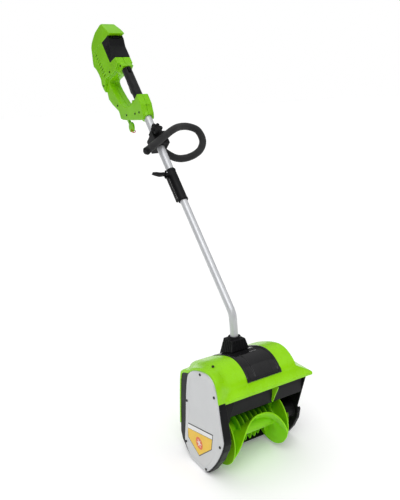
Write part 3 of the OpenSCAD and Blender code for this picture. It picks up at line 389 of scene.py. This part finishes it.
def profile(kind):
    """Section of the hood in (Y, Z): lip, sloping visor, crown and back wall."""
    if kind == "side":
        lip = [Vector((-91, 247.6)), Vector((-91.8, 254))]
        deck = spline([(-91.8, 254), (-89.5, 256.4), (-84, 257), (-76, 257)], 6)
        crown = spline([(-76, 257), (-40, 257.5), (20, 259), (70, 260.5), (112, 261.5)], 10)
        back = spline([(112, 261.5), (123, 261), (129, 256), (134, 150), (140, 56)], 8)
    else:
        lip = [Vector((-91, 248.5)), Vector((-91.8, 257.5))]
        deck = spline([(-91.8, 257.5), (-88.5, 260), (-83.5, 266.5), (-79.6, 274.5), (-77.6, 280.8)], 6)
    if kind == "dome":
        crown = [Vector((-77.2, 281.8)), Vector((-76.9, 284)), Vector((-74.6, 290))] + \
            arc(*DOME, DOME_R, 141.5, 77, 40) + \
            spline([(15, 326.2), (40, 320.2), (65, 311.3), (91, 301), (112, 291.5)], 5)
        back = spline([(112, 291.5), (121, 286.3), (127, 279), (131, 262), (135, 150), (140, 56)], 8)
    elif kind == "base":
        crown = spline([(-77.2, 281.8), (-70, 283), (-30, 284), (40, 284.5), (110, 283)], 10)
        back = spline([(110, 283), (121, 281), (127, 274), (130.5, 260), (135, 150), (140, 56)], 8)
    elif kind == "shoulder":
        deck = spline([(-91.8, 257.5), (-91.9, 262), (-91.8, 268), (-91.5, 274)], 6)
        crown = spline([(-91.5, 274), (-91, 281), (-87.5, 296), (-79.5, 313), (-66, 325), (-48, 330.5),
                        (-28, 330.5), (-4, 326.5), (20, 319), (48, 308), (74, 291)], 8)
        back = spline([(74, 291), (98, 283), (114, 273.5), (122.5, 240), (130.5, 168), (137, 90)], 8)
    lip = resample(lip, LIP)
    deck = resample(deck, DECK)
    crown = resample(crown, CROWN)
    back = resample(back, BACK)
    return lip + deck[1:] + crown[1:] + back[1:]


SECTIONS = list(zip(profile("dome"), profile("shoulder"), profile("base"), profile("side")))


def hood_section(x):
    """Section of the hood at x: shoulder, dome, low deck past the dome, flat visor end."""
    left = 1 - smoothstep(-158, -112, x)
    t = max(0.0, min(1.0, (x - DOME_RIGHT + DOME_ROUND) / DOME_ROUND))
    end = 1 - math.sqrt(max(0.0, 1 - t * t))
    fall = max(0.0, min(1.0, (x - DOME_RIGHT) / VISOR_TAIL))
    return [d.lerp(s, left).lerp(b, end).lerp(k, fall) for d, s, b, k in SECTIONS]


hood_x = [-160 + 3.2 * i for i in range(16)] + [-109 + 4.6 * i for i in range(11)] + \
    [-58.8 + i * 9.8 for i in range(13)] + [62 + 4.5 * i for i in range(11)] + \
    [110, 112.5, 114, 115.2, 116.1, 116.8, 117.3, 117.7, 117.9, 118, 118.6, 120, 124, 130, 137, 145, 152,
     158, 161, 163, 164.4]
verts, hood_rows = [], 0
for dx, inset in ((-164.6, 0.060), (-165.2, 0.034), (-164.9, 0.016), (-163.6, 0.005), (-162, 0.001)):
    for p in hood_section(-164.6):
        q = p + (HOOD_MIDDLE - p) * inset
        verts.append(head(dx, q.x, q.y))
    hood_rows += 1
end_rows = hood_rows
for x in hood_x:
    for p in hood_section(x):
        verts.append(head(x, p.x, p.y))
    hood_rows += 1
hood_cols = len(SECTIONS)
first_open = end_rows + min(range(len(hood_x)), key=lambda i: abs(hood_x[i] + OPENING))
last_open = end_rows + min(range(len(hood_x)), key=lambda i: abs(hood_x[i] - OPENING))
under_cover = LIP + DECK + 1


def cover_gap(i, j):
    """Whether a face of the hood lies under the black centre cover."""
    return first_open <= i < last_open and under_cover <= j < LIP + DECK + CROWN - 4


hood = piece("hood_shell", verts, grid_faces(hood_rows, hood_cols, skip=cover_gap), "hood_green", "head")
drop_loose(hood)
shell = hood.modifiers.new("wall", "SOLIDIFY")
shell.thickness = 2.6 * MM
shell.offset = -1
rounded(hood, 0.7, 3, 50)
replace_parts(hood, "hood")

# ---------------------------------------------------------------- black centre cover

angles = [152.0, 151.4, 150.8, 150.2, 149.6, 149.0, 148.4, 147.8, 147.2, 146.6, 145.8, 144.6] + \
    [143 - 2.2 * i for i in range(31)]
tail = spline([(15, 325.2), (40, 319.2), (65, 310.3), (91, 300), (113, 290)], 5)[1:]
cover_pts = [(Vector(DOME) + Vector((math.cos(math.radians(a)), math.sin(math.radians(a)))) * COVER_R, a)
             for a in angles] + [(p, 76.0 - 20 * (i + 1) / len(tail)) for i, p in enumerate(tail)]
cover_x = [-59, -58.6, -57.8, -56.8, -56, -54.5, -53, -51.6, -50.8, -50, -49.2, -48.4, -47.6, -46,
           -40, -35, -32, -31, -30.4, -29.8, -29.2, -28.4, -26, -20, -13, -6]
cover_x = cover_x + [0] + [-x for x in reversed(cover_x)]
verts = []
for x in cover_x:
    ax = abs(x)
    rim = smoothstep(47.8, 50.4, ax) * smoothstep(58.8, 56.4, ax)
    for p, angle in cover_pts:
        out = (p - Vector(DOME)).normalized()
        lift = 0.6 + 2.8 * rim * smoothstep(151.2, 149.4, angle) * smoothstep(57, 61, angle)
        tongue = smoothstep(31.2, 29.0, ax) * smoothstep(148.6, 147.0, angle) * smoothstep(80, 92, angle)
        lift += 2.4 * tongue
        front = smoothstep(139.0, 142.5, angle) * smoothstep(152.2, 151.0, angle)
        lift += 1.6 * (1 - max(rim, tongue)) * front
        q = p + out * lift
        verts.append(head(x, q.x, q.y))
cover = piece("cover_shell", verts, grid_faces(len(cover_x), len(cover_pts)), "black_gloss", "head")
shell = cover.modifiers.new("wall", "SOLIDIFY")
shell.thickness = 2.4 * MM
shell.offset = -1
rounded(cover, 0.5, 2, 50)
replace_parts(cover, "centre_cover")

# ---------------------------------------------------------------- belt cover with its label

belt_line = [(65, 281), (41, 302), (18, 312), (-6, 319), (-34, 324), (-56, 322.5), (-73, 311), (-82, 293),
             (-87, 275), (-91.5, 249), (-100, 203), (-109.5, 157), (-110, 145), (-101, 120),
             (-76, 75), (-41, 30), (-17, 8), (6, 1.6), (52, 1.6), (70, 7), (93, 30), (103, 54),
             (95, 107), (85, 188), (77, 241)]
edge = resample(closed_spline(belt_line, 8) + [Vector(belt_line[0])], 181)[:-1]


def inward(line, d):
    """Moves a closed outline towards the middle of the panel by d."""
    n = len(line)
    out = []
    for i, p in enumerate(line):
        t = (line[(i + 1) % n] - line[i - 1]).normalized()
        nrm = Vector((-t.y, t.x))
        if nrm.dot(PANEL_MIDDLE - p) < 0:
            nrm = -nrm
        out.append(p + nrm * d)
    return out


verts, rows = [], 0
for d, x in ((0.0, -164.0), (0.0, -166.4), (0.5, -167.4), (1.4, -168.0), (6, -168.15),
             (12.5, -168.0), (13.6, -167.6), (14.8, -166.9), (16.2, -166.7)):
    line = edge
    left = d
    while left > 0:
        line = inward(line, min(4.0, left))
        left -= 4.0
    for p in line:
        verts.append(head(x, p.x, p.y))
    rows += 1
for k in (0.97, 0.85, 0.65, 0.4, 0.15, 0.0):
    for p in line:
        q = PANEL_MIDDLE.lerp(p, k)
        verts.append(head(-166.7, q.x, q.y))
    rows += 1
faces = grid_faces(rows, len(edge), wrap=True)
panel = piece("belt_panel", verts, faces, "silver_cover", "head")
bm = bmesh.new()
bm.from_mesh(panel.data)
bmesh.ops.remove_doubles(bm, verts=bm.verts, dist=0.00001)
bm.to_mesh(panel.data)
bm.free()
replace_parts(panel, "belt_cover")


def label(name, outline, x, thick, mat):
    """Thin sheet of the badge on the belt cover, from an outline in (Y, Z)."""
    n = len(outline)
    verts = [head(x, y, z) for y, z in outline] + [head(x - thick, y, z) for y, z in outline]
    faces = [(i, (i + 1) % n, n + (i + 1) % n, n + i) for i in range(n)]
    faces += [tuple(range(n)), tuple(range(n, 2 * n))]
    ob = piece(name, verts, faces, mat, "head", slot="badge_print", smooth=False)
    rounded(ob, 0.12, 2)
    return ob


badge = [(84, 118), (-60, 150), (-50, 97), (21, 37), (84, 69)]
plate = label("label_border", badge, -166.65, 0.45, "ink_print")
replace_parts(plate, "cover_badge")
label("label_white", [(81.5, 115.3), (-57, 146), (-54.6, 133), (81.5, 101)], -167.05, 0.2, "white_print")
label("label_field", [(81.5, 100), (-54.3, 131.6), (-47.8, 98), (21.6, 40.2), (81.5, 71)], -167.05, 0.2,
      "yellow_print")
label("label_disc", [(BADGE_MIDDLE[0] + 19 * math.cos(i * math.pi / 24),
                      BADGE_MIDDLE[1] + 19 * math.sin(i * math.pi / 24))
                     for i in range(48)], -167.23, 0.14, "orange_print")
flake = []
for arm in range(6):
    a = arm * math.pi / 3
    for da, r in ((-0.09, 12.5), (0.09, 12.5), (0.32, 3.2)):
        flake.append((BADGE_MIDDLE[0] + r * math.cos(a + da), BADGE_MIDDLE[1] + r * math.sin(a + da)))
label("label_flake", flake, -167.35, 0.1, "white_print")

# ---------------------------------------------------------------- auger

fins = [-66 + 17 * k for k in range(8)]
DRUM, FIN, DISC = 28.0, 57.0, 88.0
DISC_LEFT, DISC_RIGHT = -112.5, 76.5


def washer(x, r, t):
    """Half section of a thin disc on the drum with a rounded rim and a filleted root."""
    h = t / 2
    return [(x - h - 2.2, DRUM), (x - h - 0.7, DRUM + 0.7), (x - h, DRUM + 2.4), (x - h * 0.96, r - 2.5),
            (x - h * 1.25, r - 1.4), (x - h * 0.9, r - 0.3), (x, r), (x + h * 0.9, r - 0.3),
            (x + h * 1.25, r - 1.4), (x + h * 0.96, r - 2.5), (x + h, DRUM + 2.4),
            (x + h + 0.7, DRUM + 0.7), (x + h + 2.2, DRUM)]


section = [(-129, 8), (-130, 12), (-130, DRUM - 1), (-129.2, DRUM)]
for x in (DISC_LEFT, DISC_RIGHT):
    section += washer(x, DISC, 2.8)
section += [(79.0, DRUM), (79.5, DRUM - 1), (79.5, 12), (79, 8)]
core = lathe("auger_core", [(r, x) for x, r in section], 112,
             lambda a, b, h: head(h, -a, AUGER_Z + b), "auger_lime", "auger")
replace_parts(core, "auger_drum", "auger_discs")


def crest(x):
    """Angle of the first paddle at x, in degrees: highest in the middle."""
    return 44 - 28 * ((-9 - x) / 68) ** 2.2 if x < -9 else 44 - 56 * ((x + 9) / 85) ** 3


def paddle(name, turned):
    """Curved paddle between the discs with a rounded rim bead."""
    steps = 72
    verts = []
    half = 1.4
    radii = [(DRUM - 1, 1.0), (DRUM + 1.5, 1.35), (DRUM + 6, 1.0), (50, 1), (70, 1), (83, 1),
             (85.4, 1.25), (86.6, 1.5), (87.4, 1.2), (87.7, 0.0)]
    ring = radii + [(r, -s) for r, s in reversed(radii[:-1])]
    for i in range(steps + 1):
        x = DISC_LEFT + (DISC_RIGHT - DISC_LEFT) * i / steps
        slope_deg = crest(x + 0.5) - crest(x - 0.5)
        for r, s in ring:
            slope = r * math.radians(slope_deg)
            k = s * half / math.sqrt(1 + slope * slope)
            a = math.radians(crest(x) + turned) + k / r
            verts.append(head(x - k * slope, -r * math.cos(a), AUGER_Z + r * math.sin(a)))
    n = len(ring)
    faces = grid_faces(steps + 1, n, wrap=True)
    faces += [tuple(range(n)), tuple(steps * n + k for k in range(n))]
    return piece(name, verts, faces, "auger_lime", "auger")


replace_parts(paddle("auger_paddle_a", 0), "auger_flights")
paddle("auger_paddle_b", 180)


def fin_fan(name, turned):
    """Row of thin fins behind one paddle, each a sector with a rounded rim."""
    verts, faces = [], []
    for x in fins:
        first = crest(x) + 2 + turned
        span = 84 if turned == 0 else 56
        base, steps = len(verts), 30
        rim = [(DRUM - 0.5, 0.95), (FIN - 2.0, 0.8), (FIN - 0.6, 0.65), (FIN, 0.0), (FIN - 0.6, -0.65),
               (FIN - 2.0, -0.8), (DRUM - 0.5, -0.95)]
        for i in range(steps + 1):
            t = i / steps
            a = math.radians(first + span * t)
            for r, dx in rim:
                q = r - max(0.0, r - DRUM - 1) * 0.85 * smoothstep(0.72, 1.0, t)
                verts.append(head(x + dx, -q * math.cos(a), AUGER_Z + q * math.sin(a)))
        n = len(rim)
        faces += [tuple(base + k for k in f) for f in grid_faces(steps + 1, n, wrap=True)]
        faces += [tuple(base + k for k in range(n)), tuple(base + steps * n + k for k in range(n))]
    return piece(name, verts, faces, "auger_lime", "auger")


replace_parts(fin_fan("auger_fins_a", 0), "auger_fins")
fin_fan("auger_fins_b", 180)


def gusset(name, x0, x1, a, r, r_in=DRUM - 2):
    """Thin triangular web between a disc and the drum."""
    a = math.radians(a)
    out = Vector((0, -math.cos(a), math.sin(a)))
    side = Vector((0, math.sin(a), math.cos(a))) * 1.1
    pts = [Vector((x0, 0, 0)) + out * r_in, Vector((x0, 0, 0)) + out * r,
           Vector((x0 + (x1 - x0) * 0.12, 0, 0)) + out * (r - 1.5), Vector((x1, 0, 0)) + out * (r_in + 3),
           Vector((x1, 0, 0)) + out * r_in]
    up = Vector((0, 0, AUGER_Z))
    verts = [(p + side + up) * MM for p in pts] + [(p - side + up) * MM for p in pts]
    n = len(pts)
    faces = [(i, (i + 1) % n, n + (i + 1) % n, n + i) for i in range(n)]
    faces += [tuple(range(n)), tuple(range(n, 2 * n))]
    ob = piece(name, verts, faces, "auger_lime", "auger", smooth=False)
    return rounded(ob, 0.5, 2)


for i, a in enumerate((15, 105, 195, 285)):
    web = gusset(f"auger_gusset_left_{i}", -113, -129, a, 82)
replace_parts(web, "auger_webs")
for i, a in enumerate((77, 257)):
    gusset(f"auger_gusset_right_{i}", 76, 54, a, 82)
for i, a in enumerate((190, 10)):
    gusset(f"auger_gusset_side_{i}", 77, 123, a, 84, DRUM + 0.2)

# ---------------------------------------------------------------- second handle

LOOP = [(-70, -30, -50), (-30, -30, -26), (10, -30, -2), (50, -29, 22), (88, -21, 40), (130, -11, 46),
        (167, -2, 33), (176, 8, -3), (157, 15, -34), (124, 20, -52), (88, 26, -57), (60, 30, -50),
        (38, 31, -32), (22, 31, -10)]
line = resample([pole(p.x, p.y, LOOP_AT + p.z) for p in spline(LOOP, 12)], 140)
tube("second_handle_foam", line, 12.5 * MM, 36, "foam_grip", "second_handle", ["loop_handle"])

# ---------------------------------------------------------------- star knob

def knob_place(a, b, h):
    """Point of the star knob: its axis is square to the pole, and h is measured along it."""
    return pole(-11 - a, h - 3, LOOP_AT + 24 + b)


def lobes(r, a):
    """Radius of the star knob, which has six lobes outside its stem."""
    return r if r < 9 else r * (1 + 0.17 * math.cos(6 * a) - 0.04 * math.cos(12 * a))


knob_profile = [(3, -9.8), (3, -24.3), (8, -24.5), (8, -29.5), (9.5, -30.6), (15.2, -31.6), (17.3, -33.4),
                (17.9, -36), (17.9, -43), (17.2, -45.8), (15.2, -47.4), (12, -47.9), (10, -47.7),
                (8.6, -47.0), (8.2, -45.8), (4, -45.4)]
knob = lathe("star_knob_head", knob_profile, 120, knob_place, "black_matte", "knob", wave=lobes)
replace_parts(knob, "star_knob")

# ---------------------------------------------------------------- mouldings taken from the CAD

VOX = 1.0
moulded("boot_moulding", ["neck_boot"], 0.9 * VOX, 5, "black_matte", "head")
moulded("right_wall", ["right_side_plate"], 1.2 * VOX, 5, "black_tough", "head")
case = moulded("belt_case", ["left_side_plate"], 1.2 * VOX, 5, "black_tough", "head")
for v in case.data.vertices:
    tuck = 0.035 * smoothstep(243, 251, v.co.z / MM)
    v.co.y -= v.co.y * tuck
    v.co.z -= (v.co.z - 0.2) * tuck
moulded("handle_shell_left", ["handle_left"], 0.95 * VOX, 12, "handle_green", "pole")
moulded("handle_shell_right", ["handle_right"], 0.95 * VOX, 12, "handle_green", "pole")
moulded("handle_shell_cap", ["handle_cap"], 0.95 * VOX, 12, "handle_green", "pole")
moulded("grip_cover", ["grip_sleeve"], 0.8 * VOX, 4, "soft_grip", "pole")
moulded("coupler_moulding", ["coupler_sleeve"], 0.8 * VOX, 4, "black_matte", "pole")
moulded("lever_moulding", ["clamp_lever"], 0.6 * VOX, 4, "black_matte", "lever")
moulded("clamp_left_moulding", ["loop_clamp_left"], 0.9 * VOX, 5, "black_matte", "second_handle")
moulded("clamp_right_moulding", ["loop_clamp_right"], 0.9 * VOX, 5, "black_matte", "second_handle")
moulded("battery_case", ["battery_pack"], 1.0 * VOX, 5, "black_tough", "battery")
moulded("battery_button", ["battery_latch"], 0.5 * VOX, 3, "black_matte", "latch")
moulded("trigger_blade", ["trigger"], 0.5 * VOX, 4, "black_matte", "trigger_body")
moulded("lockout_slider", ["lockout_button"], 0.5 * VOX, 3, "black_matte", "lockout")
moulded("key_tab", ["safety_key"], 0.6 * VOX, 4, "handle_green", "key")
moulded("scraper_edge", ["scraper_bar"], 0.8 * VOX, 3, "scraper_black", "head")

for name in ("chamber_shell", "deflector_vanes", "pole_socket", "clamp_strap", "loop_caps"):
    rounded(nodes[name], 0.5, 2, 40)

# ---------------------------------------------------------------- floor, light and camera

bpy.ops.mesh.primitive_plane_add(size=60, location=(0, 0, -0.0005))
floor = bpy.context.object
floor.name = "floor"
fm = bpy.data.materials.new("floor_paper")
fm.use_nodes = True
fb = fm.node_tree.nodes["Principled BSDF"]
fb.inputs["Base Color"].default_value = (0.95, 0.95, 0.95, 1)
fb.inputs["Emission Color"].default_value = (1, 1, 1, 1)
fb.inputs["Emission Strength"].default_value = 0.14
fb.inputs["Roughness"].default_value = 0.8
fb.inputs["Specular IOR Level"].default_value = 0.2
floor.data.materials.append(fm)

world = bpy.data.worlds.new("studio")
bpy.context.scene.world = world
world.use_nodes = True
soft = world.node_tree.nodes["Background"]
soft.inputs["Color"].default_value = (1, 1, 1, 1)
sky_place = world.node_tree.nodes.new("ShaderNodeTexCoord")
sky_axes = world.node_tree.nodes.new("ShaderNodeSeparateXYZ")
world.node_tree.links.new(sky_place.outputs["Generated"], sky_axes.inputs["Vector"])
sky_fall = world.node_tree.nodes.new("ShaderNodeMapRange")
sky_fall.interpolation_type = "SMOOTHSTEP"
sky_fall.inputs["From Min"].default_value = 0.05
sky_fall.inputs["From Max"].default_value = 0.85
sky_fall.inputs["To Min"].default_value = 0.10
sky_fall.inputs["To Max"].default_value = 0.62
world.node_tree.links.new(sky_axes.outputs["Z"], sky_fall.inputs["Value"])
world.node_tree.links.new(sky_fall.outputs["Result"], soft.inputs["Strength"])
paper = world.node_tree.nodes.new("ShaderNodeBackground")
paper.inputs["Color"].default_value = (1, 1, 1, 1)
paper.inputs["Strength"].default_value = 1.0
rays = world.node_tree.nodes.new("ShaderNodeLightPath")
either = world.node_tree.nodes.new("ShaderNodeMixShader")
world.node_tree.links.new(rays.outputs["Is Camera Ray"], either.inputs["Fac"])
world.node_tree.links.new(soft.outputs["Background"], either.inputs[1])
world.node_tree.links.new(paper.outputs["Background"], either.inputs[2])
world.node_tree.links.new(either.outputs["Shader"], world.node_tree.nodes["World Output"].inputs["Surface"])


def sun(name, toward, strength, angle):
    """Large soft lamp that shines from a direction."""
    data = bpy.data.lights.new(name, "SUN")
    data.energy = strength
    data.angle = math.radians(angle)
    ob = bpy.data.objects.new(name, data)
    bpy.context.scene.collection.objects.link(ob)
    ob.rotation_euler = Vector(toward).to_track_quat("Z", "Y").to_euler()
    return ob


sun("key", (-0.55, -0.75, 1.25), 1.15, 40)
sun("fill", (0.9, -0.8, 0.9), 0.25, 60)
sun("top", (-0.1, 0.25, 1.0), 0.5, 50)

cam_data = bpy.data.cameras.new("camera")
cam = bpy.data.objects.new("camera", cam_data)
bpy.context.scene.collection.objects.link(cam)
azimuth, elevation, roll = math.radians(-30.54), math.radians(15.26), math.radians(-2.48)
back = Vector((math.sin(azimuth) * math.cos(elevation), -math.cos(azimuth) * math.cos(elevation),
               math.sin(elevation)))
right = Vector((math.cos(azimuth), math.sin(azimuth), 0))
up = back.cross(right)
turned_right = right * math.cos(roll) + up * math.sin(roll)
turned_up = up * math.cos(roll) - right * math.sin(roll)
pose = Matrix((turned_right, turned_up, back)).transposed().to_4x4()
pose.translation = Vector((-0.910, -1.293, 1.073))
cam.matrix_world = pose
cam_data.sensor_width = 36
cam_data.lens = 591.5 * 36 / 500
cam_data.clip_start = 0.01
cam_data.clip_end = 100
bpy.context.scene.camera = cam
bpy.context.scene.view_settings.view_transform = "Standard"
